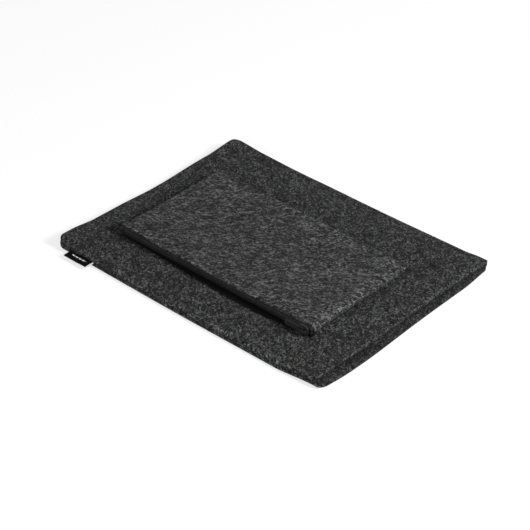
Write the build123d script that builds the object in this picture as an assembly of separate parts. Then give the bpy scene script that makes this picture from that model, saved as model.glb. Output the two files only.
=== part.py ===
from build123d import *

import os

# A felt laptop sleeve lying flat, with a felt zip pouch resting on it. Millimetres.
# Origin: centre of the sleeve's underside. +Z up, +X out of the sleeve's mouth,
# -Y towards the long side that carries the woven label and the pouch's zip.

# ---- Sleeve: one felt sheet folded at -X and sewn along both long sides ----
FELT = 3.0
SLEEVE_LENGTH = 350.0
SLEEVE_WIDTH = 262.0
SLEEVE_THICKNESS = 11.0
MOUTH_STEP_NEAR = 9.0  # how far the back panel reaches past the front panel at the -Y side
MOUTH_STEP_FAR = 3.5  # and at the +Y side

# ---- Pouch: one felt sheet folded at +Y, sewn at both ends, zipped at -Y ----
POUCH_LENGTH = 260.0
POUCH_DEPTH = 142.0
POUCH_THICKNESS = 13.0
POUCH_CENTRE_X = -1.0
POUCH_CENTRE_Y = -13.0
REST_GAP = 0.2  # the pouch rests this far above the sleeve's solid

# ---- Turned felt edges ----
CORNER_RADIUS = 9.0
FOLD_ROUNDING = 0.44  # share of a pocket's thickness
LINING_ROUNDING = 0.6
SEAM_SLOT_DEPTH = 1.6
SEAM_SLOT_HEIGHT = 0.8
SEAM_END_MARGIN = 14.0
THREAD_DIAMETER = 0.6
THREAD_CLEARANCE = 0.05

# ---- Woven label: a folded ribbon caught in the sleeve's near seam ----
LABEL_WIDTH = 30.0
LABEL_LEAF = 0.6
LABEL_REACH = 10.5
LABEL_ROOT = 2.6
LABEL_CENTRE_X = -139.0
LABEL_FOLD_ROUNDING = 0.54

# ---- Zip: two tapes, two nylon coils, stops and a slider ----
TAPE_THICKNESS = 0.6
TAPE_SEWN_WIDTH = 14.0
TAPE_BULGE = 0.6  # how far the tape stands out of the felt's cut edges
TAPE_END_GAP = 0.7
COIL_GAP = 1.6  # room between the coils for the slider's neck
COIL_WIDTH = 1.9
COIL_HEIGHT = 1.6
COIL_ROUNDING = 0.64
COIL_CORD_DIAMETER = 0.7
COIL_START_X = -121.0
COIL_END_X = 120.0
COIL_THREAD_DIAMETER = 0.4
STOP_LENGTH = 2.4
STOP_WALL = 0.7
STITCH_LENGTH = 3.0
STITCH_PITCH = 4.0
STITCH_INSET = 4.0  # from the felt's front edge

# ---- Slider and pull tab ----
SLIDER_LENGTH = 12.0
SLIDER_WIDTH = 8.6
PLATE_THICKNESS = 1.0
INNER_PLATE_WIDTH = 4.2
PLATE_NOSE_SHARE = 0.25  # corner radius as a share of a plate's width
SLIDER_CLEARANCE = 0.3
NECK_LENGTH = 3.0
NECK_WIDTH = 1.0
FLANGE_THICKNESS = 0.8
BRIDGE_LENGTH = 9.0
BRIDGE_WIDTH = 2.2
BRIDGE_HEIGHT = 3.2
BRIDGE_WALL = 1.0
BRIDGE_LEG = 1.5
BRIDGE_ROUNDING = 1.6
TAB_LENGTH = 22.0
TAB_WIDTH = 6.0
TAB_THICKNESS = 1.2
TAB_ARM = 1.0
TAB_ROUNDING = 2.4
TAB_HOLE_RADIUS = 1.5
TAB_STAND_OFF = 0.4  # between the tab and the slider's front plate

# ---- Worked-out places ----
PAST = 30.0  # how far cutting bodies run past a face
SLEEVE_MID_Z = SLEEVE_THICKNESS / 2
POUCH_FLOOR_Z = SLEEVE_THICKNESS + REST_GAP
ZIP_Z = POUCH_FLOOR_Z + POUCH_THICKNESS / 2
POUCH_FRONT_Y = POUCH_CENTRE_Y - POUCH_DEPTH / 2
TAPE_FACE_Y = POUCH_FRONT_Y - TAPE_BULGE
COIL_FACE_Y = TAPE_FACE_Y - COIL_HEIGHT
INNER_HALF = POUCH_THICKNESS / 2 - FELT  # from the zip's centre line to the felt
SLIDER_X = COIL_END_X - NECK_LENGTH
PLATE_BACK_Y = COIL_FACE_Y - SLIDER_CLEARANCE
PLATE_FACE_Y = PLATE_BACK_Y - PLATE_THICKNESS
TAB_AXIS_Y = PLATE_FACE_Y - TAB_STAND_OFF - TAB_THICKNESS / 2
UPPER, LOWER = 1, -1


def block(low, high):
    """A box between two opposite corners."""
    size = [b - a for a, b in zip(low, high)]
    middle = [(a + b) / 2 for a, b in zip(low, high)]
    return Pos(*middle) * Box(*size)


def round_slab(depth, width, height, corner, rounding):
    """A slab centred on the origin that runs PAST its +X end, all other edges rounded."""
    slab = Pos(PAST / 2, 0, 0) * Box(depth + PAST, width, height)
    closed_end = slab.edges().filter_by(Axis.Z).group_by(Axis.X)[0]
    slab = fillet(closed_end, corner)
    rims = [edge for edge in slab.edges() if abs(abs(edge.center().Z) - height / 2) < 1e-6]
    open_end = depth / 2 + PAST
    rims = [edge for edge in rims if edge.center().X < open_end - 1e-6]
    return fillet(rims, rounding)


def felt_pocket(depth, width, thickness):
    """A sheet folded at -X, its sides turned and sewn, open at +X, centred on the origin."""
    outside = round_slab(depth, width, thickness, CORNER_RADIUS, thickness * FOLD_ROUNDING)
    inside = round_slab(
        depth - 2 * FELT,
        width - 2 * FELT,
        thickness - 2 * FELT,
        CORNER_RADIUS - FELT,
        LINING_ROUNDING,
    )
    pocket = outside - inside
    pocket -= block((depth / 2, -width, -thickness), (depth / 2 + 2 * PAST, width, thickness))
    for side in (-1, 1):
        slot = Box(seam_length(depth), 2 * SEAM_SLOT_DEPTH, SEAM_SLOT_HEIGHT)
        pocket -= Pos(0, side * width / 2, 0) * slot
    return pocket


def seam_length(depth):
    return depth - 2 * SEAM_END_MARGIN


def seam_thread(depth, width, side):
    """The thread at the bottom of a pocket's seam slot, in the pocket's own place."""
    offset = width / 2 - SEAM_SLOT_DEPTH + THREAD_DIAMETER / 2 + THREAD_CLEARANCE
    length = seam_length(depth) - 2 * THREAD_CLEARANCE
    thread = Rot(0, 90, 0) * Cylinder(THREAD_DIAMETER / 2, length)
    return Pos(0, side * offset, 0) * thread


def on_sleeve(shape):
    return Pos(0, 0, SLEEVE_MID_Z) * shape


def on_pouch(shape):
    """Turns a pocket so that its mouth faces -Y, and lays it on the sleeve."""
    return Pos(POUCH_CENTRE_X, POUCH_CENTRE_Y, ZIP_Z) * Rot(0, 0, -90) * shape


def label_slot():
    """The opening in the near seam that the label's root sits in."""
    edge = -SLEEVE_WIDTH / 2
    half_width = LABEL_WIDTH / 2 + THREAD_CLEARANCE
    half_height = LABEL_LEAF + THREAD_CLEARANCE
    return block(
        (LABEL_CENTRE_X - half_width, edge - PAST, SLEEVE_MID_Z - half_height),
        (LABEL_CENTRE_X + half_width, edge + LABEL_ROOT + THREAD_CLEARANCE, SLEEVE_MID_Z + half_height),
    )


def mouth_corner_waste(side):
    """What is cut off to round one corner of the back panel at the mouth."""
    centre_x = SLEEVE_LENGTH / 2 - CORNER_RADIUS
    centre_y = side * (SLEEVE_WIDTH / 2 - CORNER_RADIUS)
    y_values = sorted((centre_y, centre_y + side * PAST))
    waste = block((centre_x, y_values[0], -PAST), (centre_x + PAST, y_values[1], PAST))
    return waste - Pos(centre_x, centre_y, 0) * Cylinder(CORNER_RADIUS, 4 * PAST)


def mouth_step_waste():
    """What is cut off so that the front panel ends short of the back panel, on a slant."""
    half = SLEEVE_WIDTH / 2
    slant = (MOUTH_STEP_NEAR - MOUTH_STEP_FAR) / SLEEVE_WIDTH
    near_x = SLEEVE_LENGTH / 2 - MOUTH_STEP_NEAR - slant * PAST
    far_x = SLEEVE_LENGTH / 2 - MOUTH_STEP_FAR + slant * PAST
    end_x = SLEEVE_LENGTH / 2 + PAST
    outline = Polyline(
        (near_x, -half - PAST), (end_x, -half - PAST), (end_x, half + PAST), (far_x, half + PAST), close=True
    )
    return Pos(0, 0, FELT) * extrude(make_face(outline), amount=SLEEVE_THICKNESS + PAST)


def sleeve_felt():
    sleeve = on_sleeve(felt_pocket(SLEEVE_LENGTH, SLEEVE_WIDTH, SLEEVE_THICKNESS))
    for side in (-1, 1):
        sleeve -= mouth_corner_waste(side)
    return sleeve - mouth_step_waste() - label_slot()


def sleeve_seam_thread(side):
    return on_sleeve(seam_thread(SLEEVE_LENGTH, SLEEVE_WIDTH, side))


def woven_label():
    edge = -SLEEVE_WIDTH / 2
    ribbon = block(
        (LABEL_CENTRE_X - LABEL_WIDTH / 2, edge - LABEL_REACH, SLEEVE_MID_Z - LABEL_LEAF),
        (LABEL_CENTRE_X + LABEL_WIDTH / 2, edge + LABEL_ROOT, SLEEVE_MID_Z + LABEL_LEAF),
    )
    folded_end = ribbon.edges().filter_by(Axis.X).group_by(Axis.Y)[0]
    ribbon = fillet(folded_end, LABEL_FOLD_ROUNDING)
    needle_way = THREAD_DIAMETER / 2 + THREAD_CLEARANCE
    seam = edge + SEAM_SLOT_DEPTH - THREAD_DIAMETER / 2 - THREAD_CLEARANCE
    way = Pos(LABEL_CENTRE_X, seam, SLEEVE_MID_Z) * Rot(0, 90, 0) * Cylinder(needle_way, 2 * LABEL_WIDTH)
    return ribbon - way


def pouch_felt():
    return on_pouch(felt_pocket(POUCH_DEPTH, POUCH_LENGTH, POUCH_THICKNESS))


def pouch_seam_thread(side):
    return on_pouch(seam_thread(POUCH_DEPTH, POUCH_LENGTH, side))


def zip_bar(side, start_x, end_x, near_z, far_z, near_y, far_y):
    """A straight bar along the zip, with its heights measured from the zip's centre line."""
    z_values = sorted((ZIP_Z + side * near_z, ZIP_Z + side * far_z))
    return block((start_x, near_y, z_values[0]), (end_x, far_y, z_values[1]))


def zip_tape(side):
    """An L-shaped strip: one leg sewn under the felt, one leg standing in front of it."""
    start_x = POUCH_CENTRE_X - POUCH_LENGTH / 2 + FELT + TAPE_END_GAP
    end_x = POUCH_CENTRE_X + POUCH_LENGTH / 2 - FELT - TAPE_END_GAP
    leg_top = INNER_HALF
    leg_bottom = INNER_HALF - TAPE_THICKNESS
    sewn_end_y = POUCH_FRONT_Y + TAPE_SEWN_WIDTH
    sewn_leg = zip_bar(side, start_x, end_x, leg_bottom, leg_top, TAPE_FACE_Y, sewn_end_y)
    front_leg = zip_bar(
        side, start_x, end_x, COIL_GAP / 2, leg_top, TAPE_FACE_Y, TAPE_FACE_Y + TAPE_THICKNESS
    )
    return sewn_leg + front_leg


def coil_cord(side):
    """The filler cord that a zip coil is wound on."""
    length = COIL_END_X - COIL_START_X
    middle_x = (COIL_START_X + COIL_END_X) / 2
    cord = Rot(0, 90, 0) * Cylinder(COIL_CORD_DIAMETER / 2, length)
    height = ZIP_Z + side * (COIL_GAP + COIL_WIDTH) / 2
    return Pos(middle_x, TAPE_FACE_Y - COIL_HEIGHT / 2, height) * cord


def zip_coil(side):
    """The envelope of a nylon coil on the outside of its tape, bored for its cord."""
    inner_edge = COIL_GAP / 2
    bar = zip_bar(
        side, COIL_START_X, COIL_END_X, inner_edge, inner_edge + COIL_WIDTH, COIL_FACE_Y, TAPE_FACE_Y
    )
    front_edges = bar.edges().filter_by(Axis.X).group_by(Axis.Y)[0]
    bar = fillet(front_edges, COIL_ROUNDING)
    return bar - coil_cord(side)


def coil_stitching(side):
    """The thread line that holds a coil to its tape, along the coil's outer shoulder."""
    length = COIL_END_X - COIL_START_X
    middle_x = (COIL_START_X + COIL_END_X) / 2
    radius = COIL_THREAD_DIAMETER / 2
    height = ZIP_Z + side * (COIL_GAP / 2 + COIL_WIDTH + radius)
    thread = Rot(0, 90, 0) * Cylinder(radius, length)
    return Pos(middle_x, TAPE_FACE_Y - radius, height) * thread


def tape_stitches(side):
    """The row of stitches that sews a tape to the felt, lying on the tape's inner face."""
    radius = THREAD_DIAMETER / 2
    count = int((POUCH_LENGTH - 2 * SEAM_END_MARGIN) / STITCH_PITCH)
    height = ZIP_Z + side * (INNER_HALF - TAPE_THICKNESS - radius)
    stitch = Rot(0, 90, 0) * Cylinder(radius, STITCH_LENGTH)
    row = []
    for index in range(count):
        along = (index - (count - 1) / 2) * STITCH_PITCH
        row.append(Pos(POUCH_CENTRE_X + along, POUCH_FRONT_Y + STITCH_INSET, height) * stitch)
    return Compound(children=row)


def stop_around(side, start_x):
    """A metal stop crimped round the front edge of one tape."""
    stop = zip_bar(
        side,
        start_x,
        start_x + STOP_LENGTH,
        COIL_GAP / 2 - STOP_WALL / 2,
        COIL_GAP / 2 + COIL_WIDTH,
        TAPE_FACE_Y - STOP_WALL,
        TAPE_FACE_Y + TAPE_THICKNESS + STOP_WALL,
    )
    return stop - zip_tape(side)


def zip_top_stops():
    """Both stops at the closed end, just past the coils."""
    start_x = SLIDER_X + SLIDER_LENGTH / 2 + SLIDER_CLEARANCE
    return Compound(children=[stop_around(side, start_x) for side in (UPPER, LOWER)])


def zip_bottom_stop():
    """One stop across both tapes, where the coils begin."""
    start_x = COIL_START_X - STOP_LENGTH
    reach = COIL_GAP / 2 + COIL_WIDTH
    stop = block(
        (start_x, TAPE_FACE_Y - STOP_WALL, ZIP_Z - reach),
        (start_x + STOP_LENGTH, TAPE_FACE_Y + TAPE_THICKNESS + STOP_WALL, ZIP_Z + reach),
    )
    return stop - zip_tape(UPPER) - zip_tape(LOWER)


def slider_plate(width, back_y, face_y):
    """One of the slider's plates, with the corners of its leading end cut to a nose."""
    plate = block(
        (SLIDER_X - SLIDER_LENGTH / 2, face_y, ZIP_Z - width / 2),
        (SLIDER_X + SLIDER_LENGTH / 2, back_y, ZIP_Z + width / 2),
    )
    corners = plate.edges().filter_by(Axis.Y)
    return fillet(corners, width * PLATE_NOSE_SHARE)


def slider_bridge():
    """The arch on the front plate that holds the pull tab's bar."""
    half = BRIDGE_LENGTH / 2
    arch = block(
        (SLIDER_X - half, PLATE_FACE_Y - BRIDGE_HEIGHT, ZIP_Z - BRIDGE_WIDTH / 2),
        (SLIDER_X + half, PLATE_FACE_Y, ZIP_Z + BRIDGE_WIDTH / 2),
    )
    crown = arch.edges().filter_by(Axis.Z).group_by(Axis.Y)[0]
    arch = fillet(crown, BRIDGE_ROUNDING)
    window = block(
        (SLIDER_X - half + BRIDGE_LEG, PLATE_FACE_Y - BRIDGE_HEIGHT + BRIDGE_WALL, ZIP_Z - PAST),
        (SLIDER_X + half - BRIDGE_LEG, PLATE_FACE_Y, ZIP_Z + PAST),
    )
    return arch - window


def slider_body():
    """Two plates joined by the neck that parts the coils, with side flanges and a bridge."""
    front_plate = slider_plate(SLIDER_WIDTH, PLATE_BACK_Y, PLATE_FACE_Y)
    inner_face_y = TAPE_FACE_Y + TAPE_THICKNESS + SLIDER_CLEARANCE
    inner_plate = slider_plate(INNER_PLATE_WIDTH, inner_face_y + PLATE_THICKNESS, inner_face_y)
    neck_end = SLIDER_X + SLIDER_LENGTH / 2 - NECK_LENGTH / 2
    neck = block(
        (neck_end - NECK_LENGTH, PLATE_BACK_Y, ZIP_Z - NECK_WIDTH / 2),
        (neck_end, inner_face_y, ZIP_Z + NECK_WIDTH / 2),
    )
    slider = front_plate + inner_plate + neck + slider_bridge()
    straight = SLIDER_LENGTH / 2 - SLIDER_WIDTH * PLATE_NOSE_SHARE
    for side in (UPPER, LOWER):
        slider += zip_bar(
            side,
            SLIDER_X - straight,
            SLIDER_X + straight,
            SLIDER_WIDTH / 2 - FLANGE_THICKNESS,
            SLIDER_WIDTH / 2,
            PLATE_BACK_Y,
            TAPE_FACE_Y - SLIDER_CLEARANCE,
        )
    return slider


def pull_tab():
    """A flat tab lying back along the zip, its fork closed by a round bar under the bridge."""
    radius = TAB_THICKNESS / 2
    tab = block(
        (SLIDER_X - TAB_LENGTH, TAB_AXIS_Y - radius, ZIP_Z - TAB_WIDTH / 2),
        (SLIDER_X, TAB_AXIS_Y + radius, ZIP_Z + TAB_WIDTH / 2),
    )
    far_corners = tab.edges().filter_by(Axis.Y).group_by(Axis.X)[0]
    tab = fillet(far_corners, TAB_ROUNDING)
    fork_depth = BRIDGE_LENGTH / 2 + BRIDGE_WALL
    fork_half = TAB_WIDTH / 2 - TAB_ARM
    tab -= block(
        (SLIDER_X - fork_depth, TAB_AXIS_Y - PAST, ZIP_Z - fork_half),
        (SLIDER_X + PAST, TAB_AXIS_Y + PAST, ZIP_Z + fork_half),
    )
    tab += Pos(SLIDER_X, TAB_AXIS_Y, ZIP_Z) * Cylinder(radius, TAB_WIDTH)
    hole_x = SLIDER_X - TAB_LENGTH + 2 * TAB_HOLE_RADIUS + TAB_ARM
    hole = Pos(hole_x, TAB_AXIS_Y, ZIP_Z) * Rot(90, 0, 0) * Cylinder(TAB_HOLE_RADIUS, PAST)
    return tab - hole


def build_nodes():
    nodes = {
        "sleeve_felt": sleeve_felt(),
        "near_seam_thread": sleeve_seam_thread(-1),
        "far_seam_thread": sleeve_seam_thread(1),
        "woven_label": woven_label(),
        "pouch_felt": pouch_felt(),
        "pouch_left_seam_thread": pouch_seam_thread(-1),
        "pouch_right_seam_thread": pouch_seam_thread(1),
        "zip_top_stops": zip_top_stops(),
        "zip_bottom_stop": zip_bottom_stop(),
        "slider_body": slider_body(),
        "pull_tab": pull_tab(),
    }
    for row, side in (("upper", UPPER), ("lower", LOWER)):
        nodes[row + "_zip_tape"] = zip_tape(side)
        nodes[row + "_zip_coil"] = zip_coil(side)
        nodes[row + "_coil_cord"] = coil_cord(side)
        nodes[row + "_coil_stitching"] = coil_stitching(side)
        nodes[row + "_tape_stitches"] = tape_stitches(side)
    return nodes


os.makedirs("parts", exist_ok=True)
for name, shape in build_nodes().items():
    export_step(shape, "parts/" + name + ".step")
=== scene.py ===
import math

import bmesh
import bpy
import numpy as np
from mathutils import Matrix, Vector, noise


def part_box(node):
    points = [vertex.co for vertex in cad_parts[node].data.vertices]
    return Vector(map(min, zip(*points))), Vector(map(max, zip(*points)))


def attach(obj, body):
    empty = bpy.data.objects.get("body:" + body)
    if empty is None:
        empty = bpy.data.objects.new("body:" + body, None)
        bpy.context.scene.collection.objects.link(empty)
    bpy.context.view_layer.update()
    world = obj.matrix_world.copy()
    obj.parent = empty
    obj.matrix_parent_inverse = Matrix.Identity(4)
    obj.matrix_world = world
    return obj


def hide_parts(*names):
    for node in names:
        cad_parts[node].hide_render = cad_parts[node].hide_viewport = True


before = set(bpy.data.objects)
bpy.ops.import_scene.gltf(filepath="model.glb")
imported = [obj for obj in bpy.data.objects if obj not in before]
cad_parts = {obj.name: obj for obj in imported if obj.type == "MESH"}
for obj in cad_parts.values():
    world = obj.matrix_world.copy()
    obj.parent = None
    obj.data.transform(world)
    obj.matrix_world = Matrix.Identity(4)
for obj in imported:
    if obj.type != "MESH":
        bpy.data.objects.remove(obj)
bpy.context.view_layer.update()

# A dark felt laptop sleeve lying on a pale floor, with a zipped felt pouch resting on it.
# All lengths are metres in the frame's axes: +X out of the sleeve's mouth, -Y towards the zip.

MM = 0.001

SLEEVE_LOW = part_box("sleeve_felt")[0]
POUCH_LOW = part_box("pouch_felt")[0]
TAPE_LOW, TAPE_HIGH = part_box("upper_zip_tape")
UPPER_COIL_LOW, UPPER_COIL_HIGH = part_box("upper_zip_coil")
LOWER_COIL_LOW, LOWER_COIL_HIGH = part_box("lower_zip_coil")
LABEL_LOW, LABEL_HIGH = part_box("woven_label")
SLIDER_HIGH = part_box("slider_body")[1]

FELT = 3.0 * MM
MOUTH_STEP_NEAR = 9.0 * MM  # how far the sleeve's under panel reaches past the upper one
MOUTH_STEP_FAR = 3.5 * MM
ZIP_Z = (UPPER_COIL_LOW.z + LOWER_COIL_HIGH.z) / 2


# ---- mesh helpers ----


def smoothstep(value):
    value = np.clip(value, 0.0, 1.0)
    return value * value * (3.0 - 2.0 * value)


def soft_noise(x, y, z, size, seed):
    """Smooth noise from -1 to 1 at each point, with features about `size` metres across."""
    points = np.broadcast_arrays(x, y, z)
    flat = np.stack([part.ravel() for part in points], axis=1) / size + seed
    values = [noise.noise(Vector(point)) for point in flat]
    return np.array(values).reshape(points[0].shape)


def add_mesh(name, vertices, faces, material, body, wear_and_shading=None):
    """Makes a smooth mesh piece, with its material, riding on its body. The optional per-vertex value
    goes to the shader, which makes the colour paler or darker with it: wear, and also painted
    highlights and painted shade.
    """
    mesh = bpy.data.meshes.new(name)
    mesh.from_pydata([tuple(v) for v in vertices], [], [tuple(f) for f in faces])
    if wear_and_shading is not None:
        layer = mesh.attributes.new("wear_and_shading", "FLOAT", "POINT")
        layer.data.foreach_set("value", np.asarray(wear_and_shading, dtype=np.float32))
    cleaner = bmesh.new()
    cleaner.from_mesh(mesh)
    bmesh.ops.remove_doubles(cleaner, verts=cleaner.verts, dist=1e-6)
    bmesh.ops.recalc_face_normals(cleaner, faces=cleaner.faces)
    cleaner.to_mesh(mesh)
    cleaner.free()
    mesh.validate()
    mesh.polygons.foreach_set("use_smooth", [True] * len(mesh.polygons))
    piece = bpy.data.objects.new(name, mesh)
    bpy.context.collection.objects.link(piece)
    mesh.materials.append(material)
    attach(piece, body)
    return piece


def skin(rings):
    """Quads between each two neighbours in a row of closed rings of vertex numbers."""
    faces = []
    for first, second in zip(rings, rings[1:]):
        count = len(first)
        for i in range(count):
            j = (i + 1) % count
            faces.append((first[i], first[j], second[j], second[i]))
    return faces


def end_faces(ring):
    """Quads that close a flat ring, made of one line out and another back beside it."""
    last = len(ring) - 1
    faces = []
    for k in range(len(ring) // 2 - 1):
        faces.append((ring[k], ring[k + 1], ring[last - 1 - k], ring[last - k]))
    return faces


def heading(line, index):
    """Which way a line of points runs at one of them."""
    return line[min(index + 1, len(line) - 1)] - line[max(index - 1, 0)]


def beside(line, distance):
    """A line in y and z, moved sideways."""
    moved = []
    for index, point in enumerate(line):
        ahead = heading(line, index)
        moved.append(point + Vector((0, -ahead.z, ahead.y)).normalized() * distance)
    return moved


def tube(path, radius, sides):
    """Vertices and faces of a closed round tube along a list of points, without twist."""
    path = [Vector(point) for point in path]
    vertices, rings = [], []
    side = Vector((0.31, 0.17, 0.93))  # only a start: no path here runs this way
    for index, point in enumerate(path):
        ahead = heading(path, index).normalized()
        side = (side - ahead * side.dot(ahead)).normalized()
        up = side.cross(ahead)
        ring = []
        for k in range(sides):
            angle = 2 * math.pi * k / sides
            ring.append(len(vertices))
            vertices.append(point + radius * (math.cos(angle) * side + math.sin(angle) * up))
        rings.append(ring)
    ends = [tuple(reversed(rings[0])), tuple(rings[-1])]
    return vertices, skin(rings) + ends


def join_shapes(shapes):
    """Several (vertices, faces) shapes as one."""
    vertices, faces = [], []
    for some_vertices, some_faces in shapes:
        shift = len(vertices)
        vertices += list(some_vertices)
        faces += [tuple(v + shift for v in face) for face in some_faces]
    return vertices, faces


# ---- material helpers ----

WAVE_SCALE = 0.1 * math.pi  # a wave texture at this scale repeats once in every metre


class Shader:
    """A material's node tree, with short calls for the nodes used here."""

    def __init__(self, name):
        self.material = bpy.data.materials.new(name)
        self.material.use_nodes = True
        self.tree = self.material.node_tree
        self.tree.nodes.clear()
        self.surface = self.node("BsdfPrincipled")
        output = self.node("OutputMaterial")
        self.link(self.surface.outputs["BSDF"], output.inputs["Surface"])
        self.place = self.node("TexCoord").outputs["Object"]

    def node(self, kind):
        return self.tree.nodes.new("ShaderNode" + kind)

    def link(self, source, target):
        self.tree.links.new(source, target)

    def set(self, socket, value):
        """Links a node's output to a socket, or sets its constant."""
        if isinstance(value, bpy.types.NodeSocket):
            self.link(value, socket)
        else:
            socket.default_value = value

    def stretched(self, lengthening, angle, source):
        """Coordinates that make a pattern longer along a direction in the XY plane."""
        node = self.node("Mapping")
        node.vector_type = "TEXTURE"
        self.set(node.inputs["Vector"], source)
        node.inputs["Rotation"].default_value = (0, 0, angle)
        node.inputs["Scale"].default_value = (lengthening, 1, 1)
        return node.outputs["Vector"]

    def warped(self, amount, size):
        """Coordinates pushed about by noise, so that straight patterns curl."""
        wobble = self.noise(size, detail=2.0, colour=True)
        centred = self.vector_math("SUBTRACT", wobble, (0.5, 0.5, 0.5))
        scaled = self.vector_math("SCALE", centred, amount)
        return self.vector_math("ADD", self.place, scaled)

    def vector_math(self, operation, first, second):
        node = self.node("VectorMath")
        node.operation = operation
        self.set(node.inputs[0], first)
        if operation == "SCALE":
            self.set(node.inputs["Scale"], second)
        else:
            self.set(node.inputs[1], second)
        return node.outputs["Vector"]

    def texture(self, kind, scale, source=None):
        node = self.node("Tex" + kind)
        self.set(node.inputs["Vector"], source or self.place)
        node.inputs["Scale"].default_value = scale
        return node

    def noise(self, size, detail=3.0, roughness=0.55, source=None, colour=False):
        node = self.texture("Noise", 1.0 / size, source)
        node.inputs["Detail"].default_value = detail
        node.inputs["Roughness"].default_value = roughness
        return node.outputs["Color" if colour else "Fac"]

    def tufts(self, size, source):
        """A random value from 0 to 1 in each small cell."""
        node = self.texture("Voronoi", 1.0 / size, source)
        parts = self.node("SeparateColor")
        self.link(node.outputs["Color"], parts.inputs["Color"])
        return parts.outputs["Red"]

    def strands(self, size, half_width, source):
        """Thin curling lines, 1 along the line, where smooth noise crosses its middle value."""
        level = self.noise(size, detail=1.0, source=source)
        off = self.math("ABSOLUTE", self.math("SUBTRACT", level, 0.5))
        return self.spread(off, 0.0, half_width, 1.0, 0.0)

    def wear_and_shading(self, gain):
        """1 where the mesh's per-vertex value is 0, and more by `gain` where it is 1: paler or darker
        colour for wear, painted highlights and painted shade.
        """
        node = self.node("Attribute")
        node.attribute_name = "wear_and_shading"
        return self.math("ADD", self.times(node.outputs["Fac"], gain), 1.0)

    def wave(self, size, direction, distortion=0.0):
        """Even bands, `size` metres apart along their axis, or twice that along X if diagonal."""
        node = self.texture("Wave", WAVE_SCALE / size)
        node.bands_direction = direction
        node.inputs["Distortion"].default_value = distortion
        return node.outputs["Fac"]

    def math(self, operation, first, second=0.0):
        node = self.node("Math")
        node.operation = operation
        self.set(node.inputs[0], first)
        self.set(node.inputs[1], second)
        return node.outputs[0]

    def times(self, first, second):
        return self.math("MULTIPLY", first, second)

    def spread(self, value, low, high, to_low=0.0, to_high=1.0):
        """A value's low..high range mapped onto another range, clamped and smooth."""
        node = self.node("MapRange")
        node.interpolation_type = "SMOOTHSTEP"
        self.set(node.inputs["Value"], value)
        node.inputs["From Min"].default_value = low
        node.inputs["From Max"].default_value = high
        node.inputs["To Min"].default_value = to_low
        node.inputs["To Max"].default_value = to_high
        return node.outputs["Result"]

    def product(self, first, second):
        """Two colours multiplied together."""
        return self.mix(1.0, first, second, blend="MULTIPLY")

    def mix(self, factor, first, second, blend="MIX"):
        node = self.node("Mix")
        node.data_type = "RGBA"
        node.blend_type = blend
        self.set(node.inputs["Factor"], factor)
        self.set(node.inputs["A"], first)
        self.set(node.inputs["B"], second)
        return node.outputs["Result"]

    def bump(self, height, distance, strength):
        node = self.node("Bump")
        node.inputs["Strength"].default_value = strength
        node.inputs["Distance"].default_value = distance
        self.set(node.inputs["Height"], height)
        self.link(node.outputs["Normal"], self.surface.inputs["Normal"])

    def finish(self, colour, roughness, constants):
        """Links colour and roughness, and sets the sockets that are the same all over."""
        self.set(self.surface.inputs["Base Color"], colour)
        self.set(self.surface.inputs["Roughness"], roughness)
        for name, value in constants.items():
            self.surface.inputs[name].default_value = value
        return self.material


def grey(value, blue=0.0):
    return (value, value, value + blue, 1.0)


# ---- materials ----


FELT_CLUMPS = (  # size, stretch along the grain, turn from the grain, depth of tone
    (10.0 * MM, 1.3, 0.0, 0.18),
    (4.0 * MM, 1.5, 0.5, 0.18),
    (2.0 * MM, 1.5, -0.5, 0.30),
)
FELT_TUFTS = (  # width, turn from the grain
    (1.6 * MM, 0.4),
    (1.2 * MM, -0.4),
    (0.9 * MM, 1.2),
)
FIBRE_KINDS = (  # size of the curls, half width in the noise, turn from the grain
    (7.0 * MM, 0.030, 0.0),
    (4.5 * MM, 0.036, 0.9),
    (3.0 * MM, 0.045, -0.7),
)
CLOUD_SIZE = 48 * MM
CLOUD_TONES = (0.84, 1.16)  # darkest and palest
CLUMP_NOISE_RANGE = (0.41, 0.59)
CLUMP_PALE_SHARE = 1.2  # how much further a clump goes paler than darker
TUFT_DEPTHS = (0.48, 0.56)  # towards dark and towards pale
TUFT_STRETCH = 1.7
TONE_CEILING = 3.2
WEAR_AND_SHADING_GAIN = 0.6  # how much paler the felt is where its per-vertex value is 1: wear and painted highlights, and below 0 painted shade
WARM_WOOL = (1.04, 0.99, 0.98, 1)
COOL_WOOL = (0.97, 1.02, 1.01, 1)
FIBRE_STRETCH = 1.5
DARK_FIBRE_TURN = 1.3
DARK_FIBRE_SIZE = 1.1  # against the pale fibres
DARK_FIBRE_SHARE = 0.40
DARK_FIBRE_SHADE = 0.2  # against the felt's own shade
PALE_FIBRE_SHARE = 0.22
PALE_FIBRE_SHADE = 2.5
PALE_FIBRE_RELIEF = 0.6


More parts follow.
